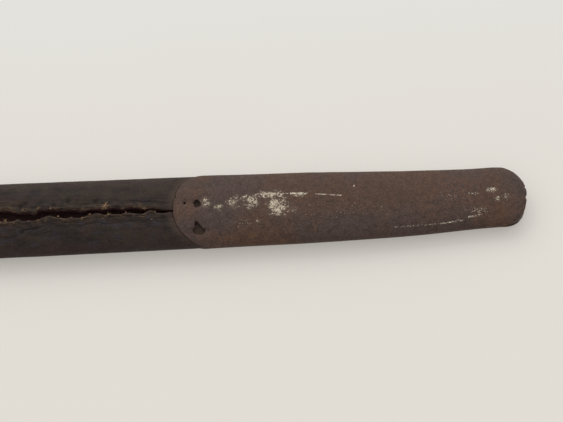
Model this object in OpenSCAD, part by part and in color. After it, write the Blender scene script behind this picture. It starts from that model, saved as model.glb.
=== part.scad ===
// Leather scabbard for a short straight sword, with iron mounts.
// +X runs from the mouth to the tip, +Z is the side with the leather's seam, and the two
// rings hang on the -Y edge. The origin is the middle of the mouth. The underside is level,
// so the scabbard lies flat with its seam up.

/* [Overall] */
// Length from the mouth's face to the tip
overall_length = 620; // [540:1:760]
// Width over the iron at the mouth
mouth_width = 41; // [35:0.5:50]
// Thickness over the iron at the mouth
mouth_thickness = 14.8; // [12.5:0.1:18]
// Power of the oval section: 2 is an ellipse, and more is squarer
oval_power = 2.2; // [2:0.1:3]

/* [Leather] */
// Thickness of the leather
leather_t = 2.2; // [1.6:0.1:2.6]
// Gap that stays between the two edges where the seam still holds
seam_gap = 0.3; // [0.2:0.05:0.6]
// Widest opening of the split seam
split_width = 4.4; // [1:0.1:7]
// Length of the split that shows above the chape
split_length = 150; // [60:1:180]
// How far the split runs on under the chape
split_under_chape = 24; // [10:1:60]
// Distance between the stitches of the seam
stitch_pitch = 6; // [4:0.5:10]
// Thickness of the seam's thread
thread_d = 0.8; // [0.5:0.1:1.2]
// Length of one stitch across the seam
stitch_length = 4; // [3:0.5:6]

/* [Iron] */
// Thickness of the sheet iron
sheet_t = 0.9; // [0.6:0.1:1.3]
// How far the iron stands out from the leather beside it
iron_proud = 0.4; // [0.2:0.1:0.8]
// Clearance between the iron and the leather pared away under it
fit_gap = 0.1; // [0.05:0.01:0.2]

/* [Chape] */
// Length of the chape from the top of its tongue to the tip
chape_length = 160; // [120:1:200]
// Width over the chape at the top of its tongue
chape_width = 35.4; // [30:0.2:44]
// Thickness over the chape there
chape_thickness = 12.8; // [11:0.1:16]
// How far the rounded tongue rises above the chape's sides
chape_tongue = 15.6; // [6:0.2:24]
// Width where the rounded end begins
tip_width = 28.6; // [24:0.2:36]
// Thickness at the tip
tip_thickness = 10; // [9.6:0.1:13]
// Length of the rounded end
nose_length = 12; // [6:0.1:14]
// Depth of the plug that closes the end, behind the rounded part
plug_depth = 5; // [3:0.5:10]
// Distance of the pins from the top of the tongue
pin_setback = 10.5; // [7:0.5:16]
// Distance between the two pins of a face
pin_spacing = 12; // [8:0.5:16]
// How far the middle of the two pins lies towards the ring edge
pin_shift = 3; // [0:0.5:5]
// Diameter of the two holes that the lost pins have left
torn_hole_d = 3.2; // [2:0.1:5]

/* [Mouth] */
// Length of the locket's sides, from the mouth
locket_length = 58; // [45:1:80]
// How far the locket's rounded tongues reach down its faces
locket_tongue = 16; // [6:0.5:24]
// Thickness of the mouthpiece's rim
rim_t = 2.5; // [1.5:0.1:4]
// How far the rim stands out past the locket
rim_lip = 0.6; // [0.2:0.1:1.5]
// Wall of the liner tube behind the rim
liner_t = 0.8; // [0.6:0.1:1.2]
// How far the liner reaches in from the mouth's face
liner_depth = 24; // [16:1:36]
// Distance of the two mouth screws from the mouth's face
screw_setback = 13; // [9:0.5:15]
// Shank diameter of these screws
screw_d = 2.4; // [1.8:0.1:3]

/* [Rings] */
// Thickness of a ring's wire
ring_wire_d = 3; // [2:0.1:3.6]
// Diameter of a ring, between the middles of its wire
ring_d = 24; // [18:0.5:32]
// Width of the raised straps that carry the loops
strap_width = 5; // [4:0.5:8]
// How far a strap stands out from the sheet iron under it
strap_t = 0.8; // [0.6:0.1:1.6]
// Thickness of the wire of the loops that hold the rings
loop_wire_d = 2.4; // [1.8:0.1:3]
// Clearance between a ring and the inside of its loop
loop_play = 0.5; // [0.3:0.1:1]
// Clearance between a ring and the strap behind it
ring_clearance = 1.1; // [0.6:0.1:2]
// Distance of the upper ring from the mouth's face
upper_ring_x = 40; // [26:1:46]
// Distance between the two rings
ring_pitch = 190; // [150:1:200]
// Length of the middle band's sides
band_length = 30; // [24:1:40]
// How far the middle band's rounded tongues reach along its faces
band_tongue = 9; // [4:0.5:14]
// Distance of the band's nails from the ends of its tongues
band_pin_setback = 6; // [4:0.5:9]

/* [Hidden] */

around = 56;              // points around a section, a multiple of 4
step_run = 0.05;          // length of a step in the leather's surface
edge_play = 0.1;          // clearance of a mount's edge from the step in the leather
station = 20;             // longest distance between sections along a tapering piece
past = 5;                 // how far a cutting or trimming solid runs past what it cuts
plug_gap = 0.05;          // braze between the end plug and the sheet round it
leather_setback = 1;      // how far the leather's end stays from the plug

chape_top = overall_length - chape_length;      // x of the top of the chape's tongue
chape_side = chape_top + chape_tongue;          // x where the chape's sides begin
nose_start = overall_length - nose_length;
taper_length = nose_start - chape_top;          // tapering stretch of the chape
plug_start = nose_start - plug_depth;
leather_end = plug_start - leather_setback;
lower_ring_x = upper_ring_x + ring_pitch;
band_start = lower_ring_x - band_length / 2;
band_end = lower_ring_x + band_length / 2;
split_start = chape_top - split_length;
split_end = chape_top + split_under_chape;

under_iron = -sheet_t - fit_gap;                // leather's face below a mount
bare = -iron_proud;                             // leather's face beside a mount
lining = bare - leather_t;                      // leather's inner face
liner_outer = lining - fit_gap;
liner_inner = liner_outer - liner_t;

pin_d = 1.8;
pin_head_d = 3.6;
pin_head_h = 0.8;         // a strap's height too, so that straps and heads rest on one level
pin_bite = 0.3;           // how far a pin's head sinks into the iron's curve
screw_head_d = 4.6;
screw_head_h = 1.1;
screw_slot = 0.7;
hole_play = 0.1;          // clearance of a screw in the locket

loop_r = ring_wire_d / 2 + loop_play + loop_wire_d / 2;   // middle of the loop's wire
loop_stand = strap_t + ring_clearance + ring_wire_d / 2;  // ring's middle from the sheet
loop_bite = 0.8 * strap_t;                                // brazed depth of a loop's legs

iron = "#54443d";
bright_iron = "#6a5a50";
leather = "#3b332f";
thread = "#8a6a3c";

// ---- The oval envelope: the outer face of the iron, at any distance x from the mouth ----

// A size that runs straight from the mouth to the chape, then curves in to the tip
function tapered(x, at_mouth, at_chape, at_tip) =
    let (
        slope = (at_mouth - at_chape) / chape_top,
        s = min(x, nose_start) - chape_top,
        bend = (at_chape - slope * taper_length - at_tip) / pow(taper_length, 2)
    )
    s < 0 ? at_chape - slope * s : at_chape - slope * s - bend * s * s;

function half_width(x) = tapered(x, mouth_width, chape_width, tip_width) / 2;
function half_thickness(x) = tapered(x, mouth_thickness, chape_thickness, tip_thickness) / 2;

// Height of the section's middle, which keeps the underside level
function middle_z(x) = half_thickness(x) - mouth_thickness / 2;

function signed_power(v, p) = sign(v) * pow(abs(v), p);

// Point on the section at distance x, moved out by an offset, at angle t from the +Y edge
function on_section(x, offset, t) = [
    x,
    (half_width(x) + offset) * signed_power(cos(t), 2 / oval_power),
    (half_thickness(x) + offset) * signed_power(sin(t), 2 / oval_power) + middle_z(x)
];

// Outline of the section across the scabbard, as points of [y, z]
function outline(x, offset) = [
    for (k = [0 : around - 1])
        let (p = on_section(x, offset, 360 * k / around)) [p[1], p[2]]
];

// Share of a tongue's reach at angle t: 0 on the edges and 1 in the middle of each face.
// Seen from above, it makes the tongue a half-ellipse as wide as the scabbard.
function tongue(t) = sqrt(1 - pow(abs(cos(t)), 4 / oval_power));

// Height of the face above the section's middle, at distance y from its centre line
function crown(x, y, offset) =
    (half_thickness(x) + offset)
    * pow(1 - pow(abs(y) / (half_width(x) + offset), oval_power), 1 / oval_power);

// Distance of the edge from the centre line, at height h from the section's middle
function edge_at(x, h, offset) =
    (half_width(x) + offset)
    * pow(1 - pow(abs(h) / (half_thickness(x) + offset), oval_power), 1 / oval_power);

// Half the opening between the leather's edges. It is widest a little past the middle of the split.
function half_gap(x) =
    let (u = (x - split_start) / (split_end - split_start))
    seam_gap / 2 + (u > 0 && u < 1 ? (split_width - seam_gap) / 2 * sin(180 * pow(u, 0.8)) : 0);

// ---- Shapes that repeat ----

// Sheet sleeve: a closed profile of [x, tongue reach, offset] carried round the oval
module sleeve(profile) {
    n = len(profile);
    points = [
        for (v = profile) for (k = [0 : around - 1])
            let (t = 360 * k / around) on_section(v[0] + v[1] * tongue(t), v[2], t)
    ];
    faces = [
        for (i = [0 : n - 1]) for (k = [0 : around - 1])
            let (
                a = i * around + k,
                b = i * around + (k + 1) % around,
                c = ((i + 1) % n) * around + (k + 1) % around,
                d = ((i + 1) % n) * around + k
            )
            each [[a, c, b], [a, d, c]]
    ];
    polyhedron(points, faces, convexity = 8);
}

// Solid core: sections of [x, offset] with both ends closed
module core(sections) {
    n = len(sections);
    points = [
        for (v = sections) for (k = [0 : around - 1]) on_section(v[0], v[1], 360 * k / around)
    ];
    sides = [
        for (i = [0 : n - 2]) for (k = [0 : around - 1])
            let (
                a = i * around + k,
                b = i * around + (k + 1) % around,
                c = b + around,
                d = a + around
            )
            each [[a, c, b], [a, d, c]]
    ];
    ends = [
        [for (k = [0 : around - 1]) k],
        [for (k = [around - 1 : -1 : 0]) (n - 1) * around + k],
    ];
    polyhedron(points, concat(sides, ends), convexity = 4);
}

// Distances from a to b, both included, no more than a station apart
function stations(a, b) =
    let (n = ceil((b - a) / station))
    [for (i = [0 : n]) a + (b - a) * i / n];

// Profile of a sleeve whose faces reach back by rise at its start and on by fall at its end
function sleeve_profile(start, rise, end, fall, outer, inner) = concat(
    [[start, -rise, outer]],
    [for (x = stations(start + 1, end - 1)) [x, 0, outer]],
    [[end, fall, outer], [end, fall, inner]],
    [for (x = stations(1 - end, -start - 1)) [-x, 0, inner]],
    [[start, -rise, inner]]
);

// Plan of the scabbard from x = start on, with the half-ellipse of the end
module plan(start) {
    steps = 24;
    outline = [for (k = [0 : steps])
        let (t = 90 - 180 * k / steps) [nose_start + nose_length * cos(t), tip_width / 2 * sin(t)]];
    translate([0, 0, -mouth_thickness])
        linear_extrude(2 * mouth_thickness)
            polygon(concat(
                [[start, -mouth_width], [start, mouth_width], [nose_start, mouth_width]],
                outline,
                [[nose_start, -mouth_width]]
            ));
}

// Nail through the iron into the leather, with its head on the face: side is 1 for the seam's face
module nail(x, y, side) {
    shank = iron_proud + leather_t;
    translate([x, y, middle_z(x) + side * crown(x, y, 0)])
        rotate([side > 0 ? 0 : 180, 0, 0])
            rotate_extrude()
                polygon([
                    [0, -shank], [pin_d / 2, -shank + pin_d / 2], [pin_d / 2, -pin_bite],
                    [pin_head_d / 2, -pin_bite], [pin_head_d / 2, 0],
                    [pin_head_d / 3, pin_head_h * 0.7], [0, pin_head_h]
                ]);
}

// Raised strap round the sheet iron, with bevelled edges
module strap(x) {
    reach = strap_width / 2;
    bevel = strap_t / 2;
    sleeve([
        [x - reach, 0, 0], [x - reach, 0, bevel], [x - reach + bevel, 0, strap_t],
        [x + reach - bevel, 0, strap_t], [x + reach, 0, bevel], [x + reach, 0, 0],
    ]);
}

// Half loop on the -Y edge, with two legs brazed into the strap
module ring_loop(x) {
    hinge_y = -half_width(x) - loop_stand;
    legs = -hinge_y - edge_at(x, loop_r, strap_t) + loop_bite;
    translate([x, hinge_y, middle_z(x)]) {
        rotate([180, 0, 0]) rotate([0, 90, 0])
            rotate_extrude(angle = 180) translate([loop_r, 0]) circle(d = loop_wire_d);
        for (z = [-loop_r, loop_r])
            translate([0, 0, z]) rotate([-90, 0, 0]) cylinder(h = legs, d = loop_wire_d);
    }
}

// Loose ring in the middle of its loop, whose far side lies level with the lower nails' heads
module ring(x) {
    hinge_y = -half_width(x) - loop_stand;
    droop = asin((half_thickness(x) + pin_head_h - ring_wire_d / 2) / ring_d);
    translate([x, hinge_y, middle_z(x)])
        rotate([droop, 0, 0])
            translate([0, -ring_d / 2, 0])
                rotate_extrude() translate([ring_d / 2, 0]) circle(d = ring_wire_d);
}

// ---- The pieces ----

// One hide folded round the blade's space, its edges meeting along the middle of the seam side
module leather_body() {
    locket_edge = locket_length + edge_play;
    band_top = band_start - edge_play;
    band_foot = band_end + edge_play;
    chape_edge = chape_side - edge_play;
    rows = concat(
        [[rim_t + edge_play, 0, under_iron], [locket_length / 2, 0, under_iron]],
        [[locket_edge, locket_tongue, under_iron], [locket_edge + step_run, locket_tongue, bare]],
        [for (x = stations(locket_edge + locket_tongue + 2, band_top - band_tongue - 2)) [x, 0, bare]],
        [[band_top - step_run, -band_tongue, bare], [band_top, -band_tongue, under_iron]],
        [[lower_ring_x, 0, under_iron]],
        [[band_foot, band_tongue, under_iron], [band_foot + step_run, band_tongue, bare]],
        [for (x = stations(band_foot + band_tongue + 2, chape_top - 2)) [x, 0, bare]],
        [[chape_edge - step_run, -chape_tongue, bare], [chape_edge, -chape_tongue, under_iron]],
        [for (x = stations(chape_side + 1, leather_end)) [x, 0, under_iron]]
    );
    n = len(rows);
    last = around;
    width = around + 1;
    points = [
        for (inside = [0, 1]) for (r = rows) for (k = [0 : last])
            let (
                offset = inside == 1 ? lining : r[2],
                x_seam = r[0] + r[1],
                seam = acos(pow(half_gap(x_seam) / (half_width(x_seam) + offset), oval_power / 2)),
                t = seam - (180 + 2 * seam) * k / last
            )
            on_section(r[0] + r[1] * tongue(t), offset, t)
    ];
    function at(inside, i, k) = (inside * n + i) * width + k;
    outer_face = [
        for (i = [0 : n - 2]) for (k = [0 : last - 1])
            each [
                [at(0, i, k), at(0, i, k + 1), at(0, i + 1, k + 1)],
                [at(0, i, k), at(0, i + 1, k + 1), at(0, i + 1, k)],
            ]
    ];
    inner_face = [
        for (i = [0 : n - 2]) for (k = [0 : last - 1])
            each [
                [at(1, i, k), at(1, i + 1, k + 1), at(1, i, k + 1)],
                [at(1, i, k), at(1, i + 1, k), at(1, i + 1, k + 1)],
            ]
    ];
    seam_faces = [
        for (i = [0 : n - 2])
            each [
                [at(0, i, 0), at(1, i + 1, 0), at(1, i, 0)],
                [at(0, i, 0), at(0, i + 1, 0), at(1, i + 1, 0)],
                [at(0, i, last), at(1, i, last), at(1, i + 1, last)],
                [at(0, i, last), at(1, i + 1, last), at(0, i + 1, last)],
            ]
    ];
    end_faces = [
        for (k = [0 : last - 1])
            each [
                [at(0, 0, k), at(1, 0, k + 1), at(0, 0, k + 1)],
                [at(0, 0, k), at(1, 0, k), at(1, 0, k + 1)],
                [at(0, n - 1, k), at(0, n - 1, k + 1), at(1, n - 1, k + 1)],
                [at(0, n - 1, k), at(1, n - 1, k + 1), at(1, n - 1, k)],
            ]
    ];
    color(leather)
        polyhedron(points, concat(outer_face, inner_face, seam_faces, end_faces), convexity = 8);
}

// Stitches that pass through the leather from edge to edge where the seam still holds
module seam_thread() {
    first = rim_t + stitch_pitch;
    count = floor((split_start - first) / stitch_pitch);
    depth = (bare + lining) / 2;
    color(thread)
        for (i = [0 : count])
            let (x = first + i * stitch_pitch)
            translate([x, 0, middle_z(x) + crown(x, stitch_length / 2, depth)])
                rotate([90, 0, 0]) cylinder(h = stitch_length, d = thread_d, center = true);
}

// Tapered sheet-iron shoe, its two faces running on over the rounded end
module chape_shell() {
    color(iron)
        difference() {
            intersection() {
                sleeve(sleeve_profile(
                    chape_side, chape_tongue, overall_length + past, 0, 0, -sheet_t
                ));
                plan(chape_top - past);
            }
            for (side = [-1, 1])
                translate([chape_top + pin_setback, side * pin_spacing / 2 - pin_shift, 0])
                    cylinder(h = mouth_thickness, d = torn_hole_d);
        }
}

// Block brazed between the two faces, which closes the end
module chape_end_plug() {
    color(bright_iron)
        intersection() {
            core([
                for (x = [plug_start, nose_start, overall_length + past]) [x, -sheet_t - plug_gap]
            ]);
            plan(plug_start - past);
        }
}

module pins_on_face(x, side) {
    for (y = [-1, 1]) nail(x, y * pin_spacing / 2 - pin_shift, side);
}

// The two nails left in the chape, on the face away from the seam
module chape_pins() {
    color(bright_iron) pins_on_face(chape_top + pin_setback, -1);
}

// Sheet-iron sleeve at the mouth
module locket_shell() {
    color(iron)
        difference() {
            sleeve(sleeve_profile(rim_t + edge_play / 2, 0, locket_length, locket_tongue, 0, -sheet_t));
            translate([screw_setback, 0, middle_z(screw_setback)])
                rotate([90, 0, 0]) cylinder(h = 2 * mouth_width, d = screw_d + 2 * hole_play, center = true);
        }
}

module locket_pins() {
    color(bright_iron)
        for (side = [-1, 1]) pins_on_face(locket_length + locket_tongue - pin_setback, side);
}

// Plate that the sword's guard rests on, with the slot for the blade
module mouth_rim() {
    color(bright_iron)
        rotate([90, 0, 90]) linear_extrude(rim_t) difference() {
            polygon(outline(rim_t, rim_lip));
            polygon(outline(rim_t, liner_inner));
        }
}

// Tube brazed to the rim, which holds the leather open
module mouth_liner() {
    color(bright_iron) sleeve(sleeve_profile(rim_t, 0, liner_depth, 0, liner_outer, liner_inner));
}

// Two slotted screws through the locket's edges and the leather into the liner
module mouth_screws() {
    reach = -liner_inner;
    color(bright_iron)
        for (side = [-1, 1])
            translate([screw_setback, side * half_width(screw_setback), middle_z(screw_setback)])
                rotate([-90 * side, 0, 0])
                    difference() {
                        union() {
                            translate([0, 0, -reach]) cylinder(h = reach, d = screw_d);
                            cylinder(h = screw_head_h, d = screw_head_d);
                        }
                        translate([-screw_head_d, -screw_slot / 2, screw_head_h / 2])
                            cube([2 * screw_head_d, screw_slot, screw_head_h]);
                    }
}

// Raised strap round the locket that carries the upper ring's loop
module upper_ring_strap() {
    color(iron) strap(upper_ring_x);
}

module upper_ring_loop() {
    color(iron) ring_loop(upper_ring_x);
}

module upper_ring() {
    color(bright_iron) ring(upper_ring_x);
}

// Sheet-iron band for the lower ring
module middle_band() {
    color(iron)
        sleeve(sleeve_profile(band_start, band_tongue, band_end, band_tongue, 0, -sheet_t));
}

// One nail in each face of the band, beside the seam or in the middle of the other face
module band_pins() {
    color(bright_iron)
        for (side = [-1, 1])
            nail(band_end + band_tongue - band_pin_setback, side > 0 ? pin_spacing / 2 : 0, side);
}

module lower_ring_strap() {
    color(iron) strap(lower_ring_x);
}

module lower_ring_loop() {
    color(iron) ring_loop(lower_ring_x);
}

module lower_ring() {
    color(bright_iron) ring(lower_ring_x);
}

leather_body();
seam_thread();
chape_shell();
chape_end_plug();
chape_pins();
locket_shell();
locket_pins();
mouth_rim();
mouth_liner();
mouth_screws();
upper_ring_strap();
upper_ring_loop();
upper_ring();
middle_band();
band_pins();
lower_ring_strap();
lower_ring_loop();
lower_ring();
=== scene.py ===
"""Looks of the leather scabbard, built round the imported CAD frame.

Lengths are in millimetres up to make(), which turns them into metres. +X runs to the tip, +Z is the
side with the seam, and the rings hang on the -Y edge.
"""

import math

import bmesh
import bpy
import numpy as np
from mathutils import Matrix, Vector


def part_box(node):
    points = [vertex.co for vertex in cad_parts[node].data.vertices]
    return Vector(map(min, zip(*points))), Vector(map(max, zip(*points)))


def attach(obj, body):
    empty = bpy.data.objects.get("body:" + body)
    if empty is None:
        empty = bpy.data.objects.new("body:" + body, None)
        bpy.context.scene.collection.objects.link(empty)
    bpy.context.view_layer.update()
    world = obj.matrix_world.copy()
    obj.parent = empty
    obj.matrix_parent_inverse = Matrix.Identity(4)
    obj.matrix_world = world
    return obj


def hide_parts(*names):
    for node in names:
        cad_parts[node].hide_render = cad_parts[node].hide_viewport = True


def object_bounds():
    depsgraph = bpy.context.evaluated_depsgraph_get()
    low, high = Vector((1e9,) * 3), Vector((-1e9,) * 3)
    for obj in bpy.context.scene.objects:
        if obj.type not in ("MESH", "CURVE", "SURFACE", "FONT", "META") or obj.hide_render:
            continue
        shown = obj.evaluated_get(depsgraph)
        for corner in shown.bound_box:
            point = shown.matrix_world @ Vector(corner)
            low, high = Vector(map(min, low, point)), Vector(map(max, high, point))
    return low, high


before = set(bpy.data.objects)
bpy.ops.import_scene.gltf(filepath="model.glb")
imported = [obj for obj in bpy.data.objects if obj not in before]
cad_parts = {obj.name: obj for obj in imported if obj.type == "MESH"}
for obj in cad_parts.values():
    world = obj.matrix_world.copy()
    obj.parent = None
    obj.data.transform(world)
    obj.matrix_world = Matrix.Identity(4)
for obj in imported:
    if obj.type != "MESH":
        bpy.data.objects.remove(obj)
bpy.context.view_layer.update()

MM = 0.001
ROOT = "scabbard"


def corners(node):
    """Lowest and highest corner of a CAD node, in millimetres."""
    return [np.array(corner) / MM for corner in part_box(node)]


def ends(node):
    """Lowest and highest x of a CAD node."""
    return [corner[0] for corner in corners(node)]


# ---- The oval section, as in the CAD ----

POWER = 2.2  # 2 is an ellipse, and more is squarer
WIDTHS = (41.0, 35.4, 28.6)  # at the mouth, the chape's top and the tip
THICKNESSES = (14.8, 12.8, 10.0)
NOSE = 12.0  # length of the rounded end
TONGUE = 15.6  # reach of the chape's tongue
CHAPE_TOP, TIP = ends("chape_shell")
CHAPE_SIDE = CHAPE_TOP + TONGUE
NOSE_START = TIP - NOSE
SHEET = 0.9  # thickness of the sheet iron
BARE = -0.4  # leather's face beside the iron
PARED = -1.0  # leather's face under the iron
LINING = -2.6  # leather's inner face
TIP_BEND = 1.2  # how far old knocks have bent the tip towards +Y
BEND_FROM, BEND_LENGTH = 58, 42  # where that begins, before the tip, and what it runs over
LOCKET_TONGUE = 16.0
BAND_TONGUE = 9.0
LOCKET_END = ends("locket_shell")[1]
BAND_START, BAND_END = ends("middle_band")
FINE_ANGLES = 4001  # steps in which the outline's length is measured
NOWHERE_NEAR = 99.0  # stands for a distance to something that isn't there


def tapered(x, sizes):
    """Half a size that runs straight from the mouth to the chape, then curves in to the tip."""
    mouth, chape, tip = sizes
    slope = (mouth - chape) / CHAPE_TOP
    length = NOSE_START - CHAPE_TOP
    bend = (chape - slope * length - tip) / length**2
    s = np.minimum(x, NOSE_START) - CHAPE_TOP
    return (chape - slope * s - bend * np.maximum(s, 0) ** 2) / 2


def half_width(x):
    return tapered(x, WIDTHS)


def half_thickness(x):
    return tapered(x, THICKNESSES)


def middle(x):
    """Height of the section's middle: the underside is level."""
    return half_thickness(x) - THICKNESSES[0] / 2


def signed_power(v, p):
    return np.sign(v) * np.abs(v) ** p


def smooth_step(v):
    v = np.clip(v, 0, 1)
    return v * v * (3 - 2 * v)


def bow(x):
    """How far the section at x lies towards +Y."""
    return TIP_BEND * smooth_step((x - (TIP - BEND_FROM)) / BEND_LENGTH)


def xyz(x, y, z):
    """Points from coordinates whose shapes fit each other."""
    return np.stack(np.broadcast_arrays(x, y, z), -1)


def surface(x, t, offset):
    """Points on the section at x, moved out by offset, at angle t from the +Y edge."""
    x, t, offset = np.broadcast_arrays(x, t, offset)
    y = (half_width(x) + offset) * signed_power(np.cos(t), 2 / POWER)
    z = (half_thickness(x) + offset) * signed_power(np.sin(t), 2 / POWER) + middle(x)
    return xyz(x, y + bow(x), z)


def angle_at(x, y):
    """Angle of the point on the seam's side that lies y off the centre line."""
    share = np.clip(y / half_width(x), -1, 1)
    return np.arccos(signed_power(share, POWER / 2))


def crown(x, y):
    """Height of the face above the section's middle."""
    return half_thickness(x) * (1 - (np.abs(y) / half_width(x)) ** POWER) ** (1 / POWER)


def full_turn(count):
    return np.linspace(0, 2 * math.pi, count, endpoint=False)


def tongue_share(t):
    """Share of a tongue's reach: 0 on the edges and 1 in the middle of a face."""
    return np.sqrt(1 - np.abs(np.cos(t)) ** (4 / POWER))


def outline_run(fine):
    """Share of the outline's length that lies before each angle in fine."""
    points = surface(np.full_like(fine, CHAPE_TOP), fine, 0.0)
    run = np.concatenate([[0], np.cumsum(np.linalg.norm(np.diff(points, axis=0), axis=1))])
    return run / run[-1]


def even_angles(count):
    """Angles evenly spaced along the outline of a section, from the +Y edge round."""
    fine = np.linspace(0, 2 * math.pi, FINE_ANGLES)
    return np.interp(np.arange(count) / count, outline_run(fine), fine)


def back_from_top(share):
    """Angle turned back from the middle of the seam's side over a share of the outline."""
    fine = np.linspace(0, 2 * math.pi, FINE_ANGLES)
    return np.interp(share, outline_run(math.pi / 2 - fine), fine)


# ---- Noise ----

def lattice(i, seed):
    """A fixed random number from -1 to 1 for each whole point i."""
    h = (i[..., 0] * 73856093) ^ (i[..., 1] * 19349663) ^ (i[..., 2] * 83492791) ^ (seed * 40503)
    h &= 0xFFFFFFFF
    for shift, factor in ((15, 2246822519), (13, 3266489917)):
        h = ((h ^ (h >> shift)) * factor) & 0xFFFFFFFF
    return (h ^ (h >> 16)) / 0x7FFFFFFF - 1.0


def noise(points, size, seed):
    """Smooth noise from -1 to 1 whose grains are about size across."""
    p = points / np.asarray(size, float) + 100.0
    base = np.floor(p).astype(np.int64)
    f = p - base
    f = f * f * (3 - 2 * f)
    total = 0.0
    for corner in range(8):
        step = np.array([corner & 1, corner >> 1 & 1, corner >> 2])
        weight = np.prod(np.where(step, f, 1 - f), axis=-1)
        total = total + weight * lattice(base + step, seed)
    return total


def rough(points, size, seed, octaves=3):
    """Noise with finer grains laid over coarser ones."""
    size = np.asarray(size, float)
    return sum(noise(points, size / 2**k, seed + k) / 2**k for k in range(octaves)) / 1.6


def bump(distance, width):
    """1 at no distance, falling softly to 0 over about twice the width."""
    return np.exp(-((distance / width) ** 2))


def smooth_path(x, knots):
    """A soft curve through knots of (x, y)."""
    kx, ky = np.array(knots, float).T
    slopes = np.gradient(ky, kx)
    i = np.clip(np.searchsorted(kx, x) - 1, 0, len(kx) - 2)
    run = kx[i + 1] - kx[i]
    u = np.clip((x - kx[i]) / run, 0, 1)
    return (
        (2 * u**3 - 3 * u**2 + 1) * ky[i]
        + (u**3 - 2 * u**2 + u) * run * slopes[i]
        + (3 * u**2 - 2 * u**3) * ky[i + 1]
        + (u**3 - u**2) * run * slopes[i + 1]
    )


# ---- Meshes ----

def new_object(name, data):
    thing = bpy.data.objects.new(name, data)
    bpy.context.scene.collection.objects.link(thing)
    return thing


def make(name, shape, material, marks=None):
    """Mesh object from points in millimetres and faces. marks are named values, one for each point."""
    points, faces = shape
    mesh = bpy.data.meshes.new(name)
    mesh.from_pydata((np.asarray(points).reshape(-1, 3) * MM).tolist(), [], faces)
    for key, values in (marks or {}).items():
        attribute = mesh.attributes.new(key, "FLOAT", "POINT")
        attribute.data.foreach_set("value", np.ascontiguousarray(values, np.float32).ravel())
    work = bmesh.new()
    work.from_mesh(mesh)
    loose = [v for v in work.verts if not v.link_faces]
    bmesh.ops.delete(work, geom=loose, context="VERTS")
    bmesh.ops.recalc_face_normals(work, faces=work.faces)
    work.to_mesh(mesh)
    work.free()
    mesh.polygons.foreach_set("use_smooth", [True] * len(mesh.polygons))
    mesh.materials.append(material)
    return new_object(name, mesh)


def add_piece(name, shape, material, node, marks=None, body=ROOT):
    piece = make(name, shape, material, marks)
    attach(piece, body)
    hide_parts(node)


def grid_faces(rows, columns, closed_rows, skip=None):
    """Quads of a grid whose columns close on themselves, and whose rows may."""
    faces = []
    for i in range(rows if closed_rows else rows - 1):
        j = (i + 1) % rows
        for k in range(columns):
            if skip is None or not skip[i, k]:
                n = (k + 1) % columns
                faces.append((i * columns + k, i * columns + n, j * columns + n, j * columns + k))
    return faces


def caps(rows, columns):
    """Faces that close both ends of a grid of rows."""
    last = (rows - 1) * columns
    return [tuple(range(columns)), tuple(range(last, last + columns))]


def join(parts):
    """Points and faces of several (points, faces) as one."""
    points, faces, start = [], [], 0
    for part_points, part_faces in parts:
        part_points = np.asarray(part_points, float).reshape(-1, 3)
        points.append(part_points)
        faces += [tuple(start + v for v in face) for face in part_faces]
        start += len(part_points)
    return np.concatenate(points), faces


def lathe(profile, segments, wobble=0.0, seed=0):
    """Closed solid turned about Z from a profile of (radius, height) that starts and ends on the axis."""
    profile = np.array(profile, float)
    turn = full_turn(segments)
    inner = profile[1:-1]
    rings = xyz(inner[:, :1] * np.cos(turn), inner[:, :1] * np.sin(turn), inner[:, 1:])
    stretch = 1 + wobble * noise(rings, 1.2, seed)
    rings[..., :2] *= stretch[..., None]
    points = np.concatenate([rings.reshape(-1, 3), [[0, 0, profile[0, 1]], [0, 0, profile[-1, 1]]]])
    faces = grid_faces(len(inner), segments, False)
    bottom, top = len(points) - 2, len(points) - 1
    last = (len(inner) - 1) * segments
    for k in range(segments):
        n = (k + 1) % segments
        faces += [(bottom, n, k), (top, last + k, last + n)]
    return points, faces


def sweep(path, radius, segments=16, closed=False):
    """Round bar along a path of points; radius is one value or one for each point."""
    path = np.asarray(path, float)
    radius = np.broadcast_to(radius, len(path))
    if closed:
        along = np.roll(path, -1, 0) - np.roll(path, 1, 0)
    else:
        along = np.gradient(path, axis=0)
    along /= np.linalg.norm(along, axis=1)[:, None]
    turn = full_turn(segments)
    side = np.cross(along[0], [0.3, 0.5, 0.8])
    rings = []
    for point, tangent, r in zip(path, along, radius):
        side = side - tangent * (side @ tangent)
        side /= np.linalg.norm(side)
        up = np.cross(tangent, side)
        rings.append(point + r * (np.cos(turn)[:, None] * side + np.sin(turn)[:, None] * up))
    rings = np.array(rings)
    faces = grid_faces(len(rings), segments, closed)
    if not closed:
        faces += caps(len(rings), segments)
    return rings.reshape(-1, 3), faces


# ---- Materials ----

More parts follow.
